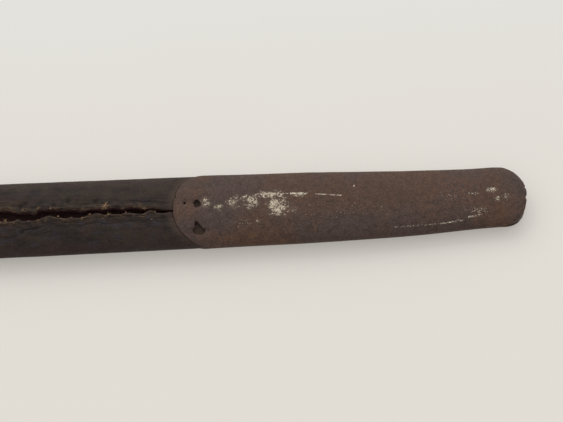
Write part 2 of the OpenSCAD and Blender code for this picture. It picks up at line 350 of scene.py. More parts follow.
class Shader:
    """A material under construction: add("Math") makes a ShaderNodeMath, and so on."""

    def __init__(self, name):
        self.material = bpy.data.materials.new(name)
        self.material.use_nodes = True
        self.tree = self.material.node_tree
        self.tree.nodes.clear()
        self.surface = self.add("BsdfPrincipled")
        output = self.add("OutputMaterial")
        self.tree.links.new(self.surface.outputs[0], output.inputs[0])
        self.place = self.add("TexCoord").outputs["Object"]

    def feed(self, node, inputs):
        """Links or sets inputs by name, or by number where the key is an underscore and digits."""
        for key, value in inputs.items():
            socket = node.inputs[int(key[1:])] if key[0] == "_" else node.inputs[key.replace("_", " ")]
            if isinstance(value, bpy.types.NodeSocket):
                self.tree.links.new(value, socket)
            elif isinstance(value, tuple) and len(value) < len(socket.default_value):
                socket.default_value = (*value, 1)
            else:
                socket.default_value = value

    def add(self, kind, settings=None, **inputs):
        node = self.tree.nodes.new("ShaderNode" + kind)
        for key, value in (settings or {}).items():
            setattr(node, key, value)
        self.feed(node, inputs)
        return node

    def finish(self, **inputs):
        self.feed(self.surface, {"Base_Color": self.colour, **inputs})
        return self.material

    def grain(self, size, detail=3.0, roughness=0.55, x=1.0, y=1.0, distortion=0.0):
        """Noise from 0 to 1 in grains about size millimetres across, drawn out x and y times along those axes."""
        place = self.place
        if (x, y) != (1.0, 1.0):
            place = self.add("Mapping", _0=place, _3=(1 / x, 1 / y, 1.0)).outputs[0]
        return self.add("TexNoise", Vector=place, Scale=1 / (size * MM), Detail=detail,
                        Roughness=roughness, Distortion=distortion).outputs["Fac"]

    def ramp(self, value, low, high):
        """0 below low, 1 above high, and soft between. low may be the greater one."""
        return self.add("MapRange", {"interpolation_type": "SMOOTHSTEP"}, Value=value,
                        From_Min=low, From_Max=high).outputs[0]

    def mark(self, name):
        return self.add("Attribute", {"attribute_name": name}).outputs["Fac"]

    def math(self, operation, a, b=0.0):
        return self.add("Math", {"operation": operation}, _0=a, _1=b).outputs[0]

    def plus(self, a, b):
        return self.math("ADD", a, b)

    def minus(self, a, b):
        return self.math("SUBTRACT", a, b)

    def times(self, a, b):
        return self.math("MULTIPLY", a, b)

    def most(self, a, b):
        return self.math("MAXIMUM", a, b)

    def size(self, a):
        return self.math("ABSOLUTE", a)

    def mix(self, share, a, b):
        """Mix of two colours."""
        return self.add("Mix", {"data_type": "RGBA"}, _0=share, _6=a, _7=b).outputs[2]

    def lay(self, mask, strength, top):
        """Lays top over the colour so far, at that strength where mask is 1."""
        share = mask if strength == 1.0 else self.times(mask, strength)
        self.colour = self.mix(share, self.colour, top)

    def blend(self, share, a, b):
        """Mix of two single values."""
        return self.add("Mix", {"data_type": "FLOAT"}, _0=share, _2=a, _3=b).outputs[0]

    def relief(self, height, depth, before=None):
        """Bump of depth millimetres on top of the one before."""
        inputs = {"Height": height, "Distance": depth * MM, "Strength": 1.0}
        if before is not None:
            inputs["Normal"] = before
        return self.add("Bump", **inputs).outputs[0]


def aged_iron(name, rust, marked=False):
    """Brown rust patina on old sheet iron. marked adds the chape's scuffs and rust patches."""
    s = Shader(name)
    clouds = s.grain(26, 4.0)
    mottle = s.grain(2.6, 6.0, 0.66, distortion=0.4)
    speckle = s.grain(0.8, 5.0, 0.75)
    streaks = s.grain(1.1, 3.0, 0.6, x=8.0)
    dark, brown, grey = (0.040, 0.0215, 0.0148), (0.110, 0.063, 0.044), (0.093, 0.062, 0.055)
    s.colour = s.mix(s.ramp(clouds, 0.40, 0.60), brown, grey)
    s.lay(s.ramp(mottle, 0.58, 0.36), 0.46, dark)
    s.lay(s.ramp(speckle, 0.56, 0.34), 0.62, dark)
    s.lay(s.ramp(speckle, 0.54, 0.70), 0.26, (0.215, 0.145, 0.110))
    s.lay(s.ramp(streaks, 0.55, 0.75), 0.30, dark)
    rusty = s.ramp(s.grain(7.0, 7.0, 0.72, distortion=0.8), 0.62 - 0.08 * rust, 0.76 - 0.08 * rust)
    if marked:
        rusty = s.most(rusty, s.times(s.mark("rust"), s.ramp(mottle, 0.36, 0.6)))
    orange = s.mix(s.ramp(speckle, 0.35, 0.7), (0.086, 0.040, 0.021), (0.215, 0.102, 0.050))
    s.lay(rusty, 0.54, orange)
    fleck = s.ramp(s.grain(1.1, 2.0, 0.5), 0.70, 0.78)
    s.lay(fleck, 0.45, (0.19, 0.082, 0.036))
    pit = s.ramp(s.grain(0.9, 3.0, 0.6), 0.36, 0.27)
    s.lay(pit, 0.75, tuple(0.45 * v for v in dark))
    roughness = s.blend(s.ramp(mottle, 0.3, 0.7), 0.56, 0.74)
    normal = s.relief(s.minus(s.plus(mottle, s.times(speckle, 0.45)), pit), 0.12)
    if marked:
        warm = s.times(s.mark("rust"), s.ramp(s.grain(4.2, 4.0, 0.6, distortion=1.0), 0.48, 0.62))
        s.lay(warm, 0.55, (0.140, 0.066, 0.036))
        olive = s.ramp(s.grain(3.4, 4.0, 0.65, distortion=0.6), 0.56, 0.70)
        s.lay(olive, 0.45, (0.052, 0.040, 0.025))
        swirl = s.grain(3.0, 2.5, 0.6, distortion=1.4)
        lace = s.ramp(s.size(s.minus(swirl, 0.5)), 0.050, 0.018)
        chalky = s.ramp(s.grain(2.3, 5.0, 0.74, x=1.3, distortion=0.8), 0.475, 0.535)
        core = s.ramp(s.mark("scuff"), 0.74, 1.0)
        flakes = s.most(lace, s.times(chalky, core))
        edge = s.times(s.grain(2.8, 5.0, 0.72, x=1.7), 2.2)
        scuffed = s.plus(s.mark("scuff"), edge)
        deposit = s.times(flakes, s.ramp(scuffed, 1.64, 1.88))
        s.lay(s.ramp(scuffed, 1.35, 1.95), 0.26, (0.19, 0.142, 0.105))
        chalk = s.mix(s.ramp(speckle, 0.3, 0.7), (0.27, 0.205, 0.145), (0.84, 0.74, 0.58))
        s.lay(deposit, 1.0, chalk)
        chips = s.times(s.grain(0.62, 4.0, 0.78, x=1.2), 2.2)
        worn = s.ramp(s.plus(s.mark("speck"), chips), 1.86, 2.10)
        s.lay(worn, 1.0, (0.70, 0.62, 0.50))
        roughness = s.blend(deposit, roughness, 0.85)
        normal = s.relief(deposit, 0.06, normal)
    return s.finish(Roughness=roughness, Normal=normal, Metallic=0.0, Specular_IOR_Level=0.22)


def rubbed_iron(name):
    """Iron that handling keeps darker and smoother, with steel showing where it rubs."""
    s = Shader(name)
    clouds = s.grain(9, 4.0)
    mottle = s.grain(1.6, 4.0, 0.62)
    s.colour = s.mix(s.ramp(clouds, 0.4, 0.62), (0.052, 0.036, 0.029), (0.094, 0.068, 0.052))
    rusty = s.ramp(s.grain(2.8, 5.0, 0.66, distortion=0.6), 0.52, 0.7)
    s.lay(rusty, 0.6, (0.15, 0.062, 0.028))
    edge = s.add("NewGeometry").outputs["Pointiness"]
    bare = s.times(s.ramp(edge, 0.52, 0.60), s.ramp(mottle, 0.42, 0.7))
    s.lay(bare, 1.0, (0.20, 0.18, 0.16))
    pit = s.ramp(s.grain(0.7, 3.0, 0.6), 0.36, 0.26)
    s.lay(pit, 1.0, (0.018, 0.012, 0.010))
    metal = s.blend(bare, 0.1, 0.7)
    roughness = s.blend(bare, s.blend(mottle, 0.42, 0.68), 0.34)
    normal = s.relief(s.minus(mottle, pit), 0.05)
    return s.finish(Roughness=roughness, Metallic=metal, Normal=normal, Specular_IOR_Level=0.4)


def old_leather(name):
    """Blackened hide: fine pebble grain, worn blotches, cool blotches, and raw tan fibre where it has torn; painted
    light on the +Y half and the long edges, painted shade in the folds and pits.
    """
    s = Shader(name)
    blotch = s.grain(13, 4.0, 0.6, distortion=0.5)
    wear = s.grain(4.5, 4.0, 0.6, x=2.2)
    s.colour = s.mix(s.ramp(blotch, 0.40, 0.60), (0.037, 0.0205, 0.0150), (0.0170, 0.0104, 0.0093))
    s.lay(s.ramp(wear, 0.50, 0.68), 0.60, (0.058, 0.036, 0.023))
    across = s.add("SeparateXYZ", Vector=s.place).outputs["Y"]
    # Painted light: the +Y half, which faces the window, gets more of the lighter olive blotches, and the -Y half
    # more of the cool ones.
    far_side = s.ramp(across, -0.003, 0.005)
    olive = s.ramp(s.grain(8.0, 4.0, 0.6, x=2.0), 0.48, 0.62)
    s.lay(olive, s.blend(far_side, 0.40, 0.75), (0.046, 0.0318, 0.0190))
    cool = s.ramp(s.grain(4.2, 4.0, 0.62, x=1.8), 0.53, 0.63)
    s.lay(cool, s.blend(far_side, 0.78, 0.25), (0.037, 0.0295, 0.0385))
    # Painted light: both long edges are lighter, a painted highlight on the +Y edge and painted bounce light on the
    # -Y edge.
    edges = s.ramp(s.size(across), 0.0115, 0.0165)
    s.lay(edges, 0.42, (0.070, 0.043, 0.036))
    pale = s.ramp(s.grain(1.4, 5.0, 0.75), 0.50, 0.70)
    s.lay(pale, 0.40, (0.072, 0.049, 0.039))
    pores = s.ramp(s.grain(0.75, 4.0, 0.75), 0.60, 0.36)
    s.lay(pores, 0.60, (0.0125, 0.0085, 0.0075))
    cells = s.add("TexVoronoi", {"feature": "DISTANCE_TO_EDGE"}, Vector=s.place, Scale=1 / (0.55 * MM))
    pebble = s.ramp(cells.outputs[0], 0.0, 0.22)
    fine = s.grain(0.35, 2.0)
    crack = s.ramp(s.size(s.minus(s.grain(7, 4.0, 0.6, x=2.6), 0.5)), 0.018, 0.004)
    s.lay(crack, 0.28, (0.012, 0.009, 0.008))
    # Painted shade: the folds' grooves and the pits are darkened.
    s.lay(s.mark("painted_fold_shade"), 0.62, (0.0095, 0.0072, 0.0065))
    stain = s.times(s.mark("stain"), s.ramp(wear, 0.30, 0.60))
    s.lay(stain, 0.8, (0.078, 0.050, 0.036))
    strands = s.grain(0.5, 3.0, 0.7, x=5.0)
    patchy = s.blend(s.ramp(s.grain(5.0, 3.0, 0.6), 0.40, 0.60), 0.62, 1.04)
    raw = s.ramp(s.plus(s.times(s.mark("raw"), patchy), s.times(strands, 0.9)), 0.66, 1.14)
    fibre = s.mix(s.ramp(strands, 0.38, 0.68), (0.034, 0.021, 0.015), (0.162, 0.104, 0.066))
    s.lay(raw, 1.0, fibre)
    inside = s.mix(s.grain(2.0, 4.0, 0.6), (0.062, 0.026, 0.027), (0.115, 0.052, 0.052))
    s.lay(s.mark("inside"), 1.0, inside)
    roughness = s.blend(raw, s.blend(s.ramp(wear, 0.35, 0.7), 0.50, 0.66), 0.95)
    normal = s.relief(s.plus(pebble, fine), 0.035)
    normal = s.relief(s.plus(s.times(crack, -0.6), wear), 0.09, normal)
    normal = s.relief(s.times(strands, raw), 0.25, normal)
    return s.finish(Roughness=roughness, Normal=normal, Specular_IOR_Level=0.20)


def dry_fibre(name):
    s = Shader(name)
    s.colour = s.mix(s.grain(1.5, 3.0), (0.19, 0.105, 0.056), (0.50, 0.325, 0.185))
    return s.finish(Roughness=0.85, Specular_IOR_Level=0.25)


def waxed_thread(name):
    s = Shader(name)
    twist = s.add("TexWave", {"bands_direction": "DIAGONAL"}, Vector=s.place,
                  Scale=1 / (1.2 * MM), Distortion=0.6).outputs["Fac"]
    s.colour = s.mix(twist, (0.16, 0.10, 0.05), (0.34, 0.24, 0.13))
    return s.finish(Roughness=0.8, Normal=s.relief(twist, 0.08), Specular_IOR_Level=0.3)


def backdrop_cloth(name):
    """Pale cloth, a little cooler towards the back, that glows faintly as if lit from below."""
    s = Shader(name)
    back = s.ramp(s.add("SeparateXYZ", Vector=s.place).outputs["Y"], -0.02, 0.20)
    s.colour = s.mix(back, (0.565, 0.541, 0.502), (0.565, 0.566, 0.550))
    shade = s.ramp(s.grain(90, 3.0), 0.3, 0.7)
    s.lay(shade, 0.12, (0.55, 0.52, 0.48))
    weave = s.grain(0.9, 2.0, 0.5, y=3.0)
    return s.finish(Roughness=0.95, Normal=s.relief(weave, 0.02), Specular_IOR_Level=0.1,
                    Emission_Color=s.colour, Emission_Strength=0.50)


CHAPE_IRON = aged_iron("chape_iron", rust=0.7, marked=True)
SHEET_IRON = aged_iron("sheet_iron", rust=0.5)
RUBBED_IRON = rubbed_iron("rubbed_iron")
LEATHER = old_leather("old_leather")
FIBRE = dry_fibre("dry_fibre")
THREAD = waxed_thread("waxed_thread")


# ---- The chape ----

AROUND = 176  # points round a section of the chape
ROW_STEP = 0.55  # distance between sections
FINE_END = 24.0  # the inner face is as fine as the outer up to here
TONGUE_EXTRA = 0.8  # how far the tongue's middle reaches past the CAD's
EDGE_RADIUS, TIP_RADIUS = 0.32, 1.0  # rounding of the sheet's edge and of the tip
TIP_POWERS = 1.85, 2.40  # outline of the tip on its +Y and its -Y side
SPIKE_TOWARDS = 1.9  # direction of a hole's spike, as an angle from +X
HOLES = (  # centre x from the tongue's top, y, radius, raggedness, spike
    (10.2, 2.3, 1.8, 0.18, 0.0),
    (10.6, -10.4, 2.3, 0.12, 2.2),
    (4.6, 2.8, 0.6, 0.10, 0.0),
)
NICK = (0.8, 5.6, 0.8)  # depth, y and width of the notch in the tongue's edge


def hole_radius(hole, turn):
    """Ragged outline of a torn hole, wider on its -Y side where it has a spike."""
    x, y, radius, ragged, spike = hole
    spots = xyz(np.cos(turn) * 1.3 + x, np.sin(turn) * 1.3 + y, 0.0)
    away = np.angle(np.exp(1j * (turn - SPIKE_TOWARDS)))
    low_side = 0.28 * spike * np.abs(np.cos(turn)) * (np.sin(turn) < 0.2)
    return radius * (1 + ragged * 1.8 * noise(spots, 0.9, 11)) + spike * bump(away, 0.34) + low_side


def hole_distance(points):
    """Distance outside the nearest hole's outline, seen from above, for points on the seam's side."""
    nearest = np.full(points.shape[:-1], NOWHERE_NEAR)
    for hole in HOLES:
        dx, dy = points[..., 0] - CHAPE_TOP - hole[0], points[..., 1] - hole[1]
        gap = np.hypot(dx, dy) - hole_radius(hole, np.arctan2(dy, dx))
        nearest = np.minimum(nearest, np.where(points[..., 2] > middle(points[..., 0]), gap, NOWHERE_NEAR))
    return nearest


def chape_start(t):
    """x of the tongue's edge, slightly uneven, with a notch in the seam's side."""
    base = CHAPE_SIDE - (TONGUE + TONGUE_EXTRA) * tongue_share(t)
    edge = surface(base, t, 0.0)
    notch = NICK[0] * bump(edge[..., 1] - NICK[1], NICK[2]) * (np.sin(t) > 0)
    return base + 0.24 * rough(edge, 4.0, 21) + 0.12 * rough(edge, 1.3, 23) + notch


def chape_end(t):
    """x of the tip's outline: squarer on the -Y side, nicked along the edge."""
    y = surface(NOSE_START, t, 0.0)[..., 1] - bow(NOSE_START)
    power = np.where(y > 0, *TIP_POWERS)
    share = np.clip(np.abs(y) / half_width(TIP), 0, 1)
    edge = xyz(TIP, y, 0.0)
    nicks = 0.34 * rough(edge, 2.4, 31) - 0.45 + 0.8 * bump(y + 2.2, 0.9) + 0.5 * bump(y - 2.9, 0.6)
    return NOSE_START + NOSE * (1 - share**power) ** (1 / power) - nicks * share.clip(0.2, 1) ** 0.2


def dents(points, seed):
    """Unevenness of old hammered sheet."""
    pocks = smooth_step((noise(points, 1.7, seed + 9) - 0.45) * 3)
    return 0.16 * noise(points, 26, seed) + 0.05 * rough(points, 6, seed + 5) - 0.05 * pocks


# Marks on the seam's side of the chape, with x from the tongue's top.
# A spot is its strength, x, y and radius along x and y. A stroke is its strength, both ends and width.
SCUFF_SPOTS = (
    (1.16, 46.8, -0.6, 6.4, 5.4), (1.10, 43.0, 4.8, 9.0, 2.2), (0.92, 34.0, 2.2, 6.0, 4.0),
    (0.86, 26.6, 2.0, 4.0, 3.8), (0.84, 19.9, -0.4, 3.4, 2.8), (0.84, 14.2, 2.0, 2.8, 2.8),
    (0.94, 56.5, 4.3, 4.2, 1.5), (0.78, 37.5, -7.4, 1.7, 1.3), (0.80, 54.5, -2.8, 3.4, 1.8),
)
SPECK_SPOTS = (
    (0.90, 144.5, 3.4, 4.6, 2.4), (0.74, 136.0, 1.8, 8.0, 1.8), (0.76, 151.0, -0.2, 3.6, 3.4),
    (0.84, 147.0, -1.0, 2.8, 2.4), (0.60, 126.0, 1.0, 16.0, 6.0), (1.10, 82.0, 7.7, 0.9, 0.9),
    (0.54, 75.0, -4.0, 70.0, 12.0), (0.68, 138.0, -6.0, 12.0, 3.6), (0.60, 30.0, -8.0, 16.0, 5.0),
)
SPECK_STROKES = (
    (0.84, 45.0, 5.5, 61.0, 4.7, 0.6), (1.04, 53.0, 5.1, 60.0, 4.8, 0.8), (0.92, 64.0, 4.4, 76.0, 3.2, 0.55),
    (0.74, 98.0, -12.6, 121.0, -11.6, 0.7), (0.82, 121.0, -11.6, 131.0, -10.2, 0.8),
    (0.86, 133.0, -9.2, 139.0, -8.2, 0.9),
)
RUST_SPOTS = (
    (1.0, 4.6, 0.0, 4.6, 3.4), (0.9, 21.0, -14.0, 8.0, 3.0), (0.6, 10.0, 7.0, 7.0, 3.5),
    (0.75, 36.0, -14.0, 6.0, 2.4), (0.66, 130.0, 3.0, 16.0, 8.0), (0.6, 147.0, -5.0, 10.0, 7.0),
    (0.6, 58.0, 3.0, 5.0, 2.4), (0.5, 116.0, -6.0, 9.0, 5.0),
)


def chape_marks(points):
    """Where the chape is scuffed, rusty and specked with bare metal."""
    x, y = points[..., 0] - CHAPE_TOP, points[..., 1]
    top = points[..., 2] > middle(points[..., 0])

    def spot(strength, cx, cy, rx, ry):
        return strength * (bump(x - cx, rx) * bump(y - cy, ry) * top)

    def stroke(strength, ax, ay, bx, by, width):
        dx, dy = bx - ax, by - ay
        along = np.clip(((x - ax) * dx + (y - ay) * dy) / (dx**2 + dy**2), 0, 1)
        return strength * (bump(np.hypot(x - ax - along * dx, y - ay - along * dy), width) * top)

    specks = [spot(*row) for row in SPECK_SPOTS] + [stroke(*row) for row in SPECK_STROKES]
    return {
        "scuff": np.maximum.reduce([spot(*row) for row in SCUFF_SPOTS]),
        "speck": np.maximum.reduce(specks),
        "rust": np.maximum.reduce([spot(*row) for row in RUST_SPOTS]),
    }


def build_chape():
    """Outer face, rounded ends and inner face as loops round the section, with torn holes cut through."""
    t = even_angles(AROUND)[None, :]
    start, end = chape_start(t), chape_end(t)
    length = TIP - CHAPE_TOP
    before_tip = length - np.array([1.1, 0.8, 0.5, 0.25, 0.08, 0.0])
    steps = np.concatenate([[0.0, 0.06, 0.16, 0.32], np.arange(0.75, length - 1.3, ROW_STEP), before_tip])
    share = (steps / length)[:, None]
    x = start + (end - start) * share
    t = np.broadcast_to(t, x.shape).copy()
    fine_rows = int(np.searchsorted(steps, FINE_END))

    flat = surface(x, t, 0.0)
    centres = (flat + np.roll(flat, -1, 1))[:fine_rows] / 2
    cut = np.zeros((len(steps), AROUND), bool)
    cut[:fine_rows - 1] = hole_distance((centres[:-1] + centres[1:]) / 2) < 0
    touched = cut | np.roll(cut, 1, 1)
    touched |= np.roll(touched, 1, 0)
    kept = ~cut | ~np.roll(cut, 1, 1)
    kept |= np.roll(kept, 1, 0)
    rim = touched & kept
    for hole in HOLES:
        dx, dy = flat[..., 0] - CHAPE_TOP - hole[0], flat[..., 1] - hole[1]
        turn = np.arctan2(dy, dx)
        near = rim & (np.hypot(dx, dy) < hole[2] * 2 + hole[4])
        reach = hole_radius(hole, turn)
        new_x = CHAPE_TOP + hole[0] + reach * np.cos(turn)
        new_y = hole[1] + reach * np.sin(turn)
        x = np.where(near, new_x, x)
        t = np.where(near, angle_at(new_x, new_y), t)

    flat = surface(x, t, 0.0)
    away = hole_distance(flat)
    relief = dents(flat, 41) - 0.42 * bump(np.maximum(away, 0), 1.1)
    far_edge = smooth_step((flat[..., 1] - 6) / 8)
    relief += 0.35 * bump(flat[..., 0] - (TIP - 13), 5.0) * far_edge
    relief -= 0.30 * bump(flat[..., 0] - (TIP - 30), 12.0) * far_edge
    from_start = steps[:, None]
    from_end = length - from_start
    radius = np.where(from_start < 5, EDGE_RADIUS, TIP_RADIUS)
    inset = np.clip(radius - np.minimum(from_start, from_end), 0, radius)
    rounding = radius - np.sqrt(np.maximum(radius**2 - inset**2, 0))
    outer = surface(x, t, relief - np.minimum(rounding, SHEET - 0.12))

    last_inner = len(steps) - 4
    inner_rows = np.concatenate([np.arange(fine_rows), np.arange(fine_rows, last_inner, 12), [last_inner]])
    inner = surface(x, t, -SHEET + relief * 0.6)[inner_rows]
    loops = np.concatenate([outer, inner[::-1]])
    rows, total = len(outer), len(loops)
    skip = np.zeros((total, AROUND), bool)
    skip[:rows] = cut
    skip[total - fine_rows:total - 1] = cut[:fine_rows - 1][::-1]
    faces = grid_faces(total, AROUND, True, skip=skip)

    def inside_index(i, k):
        return (total - 1 - i) * AROUND + k % AROUND

    sides = ((-1, 0, (0, 0), (0, 1)), (1, 0, (1, 0), (1, 1)), (0, -1, (0, 0), (1, 0)), (0, 1, (0, 1), (1, 1)))
    for i, k in zip(*np.nonzero(cut)):
        for di, dk, a, b in sides:
            if not cut[i + di, (k + dk) % AROUND]:
                first, second = (i + a[0], k + a[1]), (i + b[0], k + b[1])
                faces.append((first[0] * AROUND + first[1] % AROUND, second[0] * AROUND + second[1] % AROUND,
                              inside_index(*second), inside_index(*first)))
    add_piece("chape", (loops, faces), CHAPE_IRON, "chape_shell", chape_marks(loops))


def build_end_plug():
    """Wall of the closed tip, just inside the sheet's edge."""
    count, levels = 160, 9
    recess, play = 0.28, 0.04
    t = full_turn(count)
    start = ends("chape_end_plug")[0]
    end = chape_end(t) - recess
    half = count // 2
    sides = np.stack([surface(start + (end - start) * s, t, -SHEET - play) for s in (0, 0.25, 0.5, 0.75, 1.0)])
    faces = grid_faces(len(sides), count, False)
    faces.append(tuple(range(count)))
    last = (len(sides) - 1) * count
    wall = []
    for j in range(1, levels):
        share = j / levels
        line = sides[-1][1:half] * (1 - share) + sides[-1][:half:-1] * share
        line[:, 0] += 0.25 * math.sin(math.pi * share) + 0.05 * noise(line, 1.5, 51)
        wall.append(line)
    points = np.concatenate([sides.reshape(-1, 3), np.concatenate(wall)])

    def at(j, k):
        if j == 0 or k in (0, half):
            return last + k
        if j == levels:
            return last + (count - k) % count
        return last + count + (j - 1) * (half - 1) + k - 1

    for j in range(levels):
        for k in range(half):
            face = tuple(dict.fromkeys([at(j, k), at(j, k + 1), at(j + 1, k + 1), at(j + 1, k)]))
            if len(face) > 2:
                faces.append(face)
    add_piece("chape_tip_wall", (points, faces), SHEET_IRON, "chape_end_plug")


# ---- The leather ----

SPLIT_FROM = 308.0
FACE_COLUMNS = 172  # points round a section's outer face
LINING_COLUMNS = 44
CROWDING = 0.11  # how strongly they crowd towards the seam
CUT_DEPTHS = (0.12, 0.3, 0.5, 0.72, 0.92)  # rows of points through a lip's cut edge
LIPS = (  # x, then y of the upper and the lower lip
    (SPLIT_FROM, 0.1, -0.1), (330, 1.1, -0.8), (350, 2.0, -1.4), (366, 2.6, -1.3), (376, 3.0, -1.6),
    (380, 3.1, -2.1), (383.5, 2.9, -2.8), (387, 1.9, -2.3), (389, 1.4, -1.6), (391, 1.5, -2.6),
    (394.5, 1.1, -2.5), (396.3, 0.5, -2.6), (398, 2.2, -2.0), (400, 2.6, -1.4), (403.6, 2.3, -0.5),
    (405.4, 2.4, -1.3), (407.3, 2.2, -1.9), (409.5, 1.7, -2.1), (411, 1.8, -2.2), (412.7, 2.1, -1.7),
    (414.6, 1.8, -2.2), (416.5, 1.2, -2.3), (418.5, 1.3, -2.0), (420, 1.4, -1.4), (422, 2.0, -1.1),
    (425.5, 1.7, -0.5), (427.3, 1.2, -1.3), (431, 2.1, -1.1), (434.7, 1.6, -1.3), (436.5, 0.9, -1.1),
    (438.3, 1.7, -0.9), (442, 1.6, -1.5), (445.6, 0.7, -1.6), (449.3, 0.9, -0.3), (451.1, 0.7, -0.8),
    (453, 0.2, -1.4), (455, -0.2, -1.6), (458, -0.4, -1.4), (466, -0.8, -1.2), (484, -0.9, -1.1),
)
PITS = ((390.0, 4.6), (390.5, -8.2), (392.0, 5.6), (411.5, 6.2), (405.0, 4.6), (424.0, 5.2))
STITCH_PITCH = 6.0
FIRST_STITCH = ends("seam_thread")[0] + 0.4
PLY_RADIUS, PLY_APART, PLY_TWIST = 0.21, 0.19, 2.6


def lip(x, column, seed):
    """y of one lip of the seam: closed before the split, then ragged. column is its place in LIPS."""
    spots = xyz(x, 0.0, 0.0)
    torn = smooth_step((x - SPLIT_FROM) / 30) * smooth_step((472 - x) / 12)
    ragged = 0.16 * rough(spots, 2.0, seed) + 0.14 * noise(spots, 0.8, seed + 4)
    return smooth_path(x, [(knot[0], knot[column]) for knot in LIPS]) + ragged * torn


def ironed(x, t):
    """How far a point lies under the edge of a mount: positive under the iron."""
    back = 1 - tongue_share(t)
    locket = LOCKET_END - LOCKET_TONGUE * back - x
    band = np.minimum(x - BAND_START - BAND_TONGUE * back, BAND_END - BAND_TONGUE * back - x)
    return np.maximum.reduce([locket, band, x - chape_start(t)])


def build_leather():
    """Each section is one loop: the outer face from lip to lip, a lip's cut edge, the lining and the other edge."""
    low, high = corners("leather_body")
    stations = [
        (low[0], 4.0), (54, 1.8), (212, 4.0), (244, 1.8), (SPLIT_FROM - 4, 1.1), (372, 0.55), (486, 5.0),
    ]
    x = []
    for (a, step), b in zip(stations, [s[0] for s in stations[1:]] + [high[0]]):
        x += list(np.linspace(a, b, int(math.ceil((b - a) / step)), endpoint=False))
    x = np.array(x + [high[0]])[:, None]
    upper, lower = lip(x, 1, 61), lip(x, 2, 67)
    closed = 1 - smooth_step((x - SPLIT_FROM) / 14)
    split = smooth_step((x - SPLIT_FROM - 4) / 40) * smooth_step((468 - x) / 20)

    share = np.linspace(0, 1, FACE_COLUMNS)[None, :]
    turn = back_from_top(share - CROWDING * np.sin(2 * math.pi * share))
    start, end = angle_at(x, upper), angle_at(x, lower)
    t = start - turn * (1 - (end - start) / (2 * math.pi))

    under = ironed(x, t)
    face = BARE + (PARED - BARE) * smooth_step((under + 0.35) / 0.5)
    base = surface(x, t, face)
    y = base[..., 1]
    on_top = base[..., 2] > middle(x)
    to_upper = np.where(on_top & (y > (upper + lower) / 2), y - upper, NOWHERE_NEAR)
    to_lower = np.where(on_top & (y <= (upper + lower) / 2), lower - y, NOWHERE_NEAR)
    to_lip = np.maximum(np.minimum(to_upper, to_lower), 0)
    open_air = smooth_step(-under / 2)
    drawn = base * np.array([1 / 9.0, 1.0, 1.0])
    ridges = rough(drawn, 0.85, 71) + 0.5 * noise(drawn * 2.3, 0.9, 79)
    relief = 0.10 * rough(base, 20, 73) + 0.05 * rough(base, 3.5, 75)
    relief += split * (0.42 * bump(to_lip - 0.9, 1.1) + 0.46 * ridges * bump(to_lip, 3.8))
    folds = bump(to_lower - 4.2, 0.6) + 0.8 * bump(to_upper - 3.2, 0.5) + 0.5 * bump(to_lower - 7.6, 0.5)
    groove = smooth_step(0.55 + 0.9 * rough(drawn, 2.6, 77)) * folds
    pits = sum(bump(np.hypot(base[..., 0] - px, y - py), 1.0) for px, py in PITS) * on_top
    relief = relief - split * 0.34 * groove - 0.8 * pits
    stitch = np.cos(2 * math.pi * (x - FIRST_STITCH) / STITCH_PITCH)
    relief = relief - closed * (0.30 * bump(to_lip, 0.45) + (0.05 + 0.04 * stitch) * bump(to_lip - 2.0, 0.8))
    relief = relief - split * 0.35 * bump(to_lip, 0.35)
    sunk = 1.5 * smooth_step(0.6 - hole_distance(base))
    outer = surface(x, t, face + relief * (0.1 + 0.9 * open_air) - sunk)

    def cut_edge(y_lip, seed):
        rows = []
        for depth in CUT_DEPTHS:
            spots = np.concatenate([x, np.full_like(x, depth * 3), y_lip * 0], 1)
            sway = 0.5 * rough(spots, (1.6, 1.1, 1), seed)[:, None] * split
            level = face[:, :1] + (LINING - face[:, :1]) * depth
            rows.append(surface(x, angle_at(x, y_lip + sway), level))
        return np.concatenate(rows, 1)

    inner_share = np.linspace(0, 1, LINING_COLUMNS)[None, :]
    inner_t = end - 2 * math.pi + inner_share * (2 * math.pi - (end - start))
    inner = surface(x, inner_t, LINING + 0.12 * rough(surface(x, inner_t, LINING), 5, 81))
    lower_edge = cut_edge(lower, 83)
    upper_edge = cut_edge(upper, 85)[:, ::-1]
    loops = np.concatenate([outer, lower_edge, inner, upper_edge], 1)
    rows, columns = loops.shape[:2]
    faces = grid_faces(rows, columns, False)
    faces += caps(rows, columns)

    marks = {name: np.zeros((rows, columns)) for name in ("raw", "inside", "stain", "painted_fold_shade")}
    patchy = 0.75 + 0.55 * rough(base * np.array([0.5, 1.0, 1.0]), 2.0, 87)
    face_columns, cuts = slice(FACE_COLUMNS), len(CUT_DEPTHS)
    marks["raw"][:, face_columns] = split * patchy * (0.58 * bump(to_lip, 0.5) + 0.52 * bump(to_lip - 1.2, 2.2))
    marks["raw"][:, FACE_COLUMNS:FACE_COLUMNS + cuts] = split * 0.35
    marks["raw"][:, -cuts:] = split * 0.30
    marks["inside"][:, FACE_COLUMNS + 1:-1] = 1.0
    marks["stain"][:, face_columns] = bump(np.minimum(under + 0.5, 0), 2.6)
    # Painted shade for the folds' grooves and the pits.
    marks["painted_fold_shade"][:, face_columns] = np.minimum(split * groove + pits, 1.0)
    add_piece("scabbard_leather", (loops, faces), LEATHER, "leather_body", marks)


# ---- Torn fibres and the seam's thread ----

TUFTS = (  # x, y, number of fibres, length
    (428.4, 3.0, 34, 1.8), (429.8, -1.3, 8, 1.1), (418.0, -2.6, 7, 1.0), (413.0, -2.5, 8, 1.1),
    (438.0, -1.1, 5, 0.8), (451.0, -1.0, 5, 0.8), (449.5, -4.3, 4, 0.6), (407.0, -1.2, 6, 0.9),
    (398.0, 3.0, 5, 0.9), (391.0, 2.4, 5, 0.9), (361.0, 2.9, 6, 1.0), (344.0, -1.6, 5, 1.0),
    (383.0, -2.2, 7, 1.1), (403.5, 2.8, 4, 0.7), (421.5, -0.8, 5, 0.8), (446.0, 1.0, 4, 0.7),
)


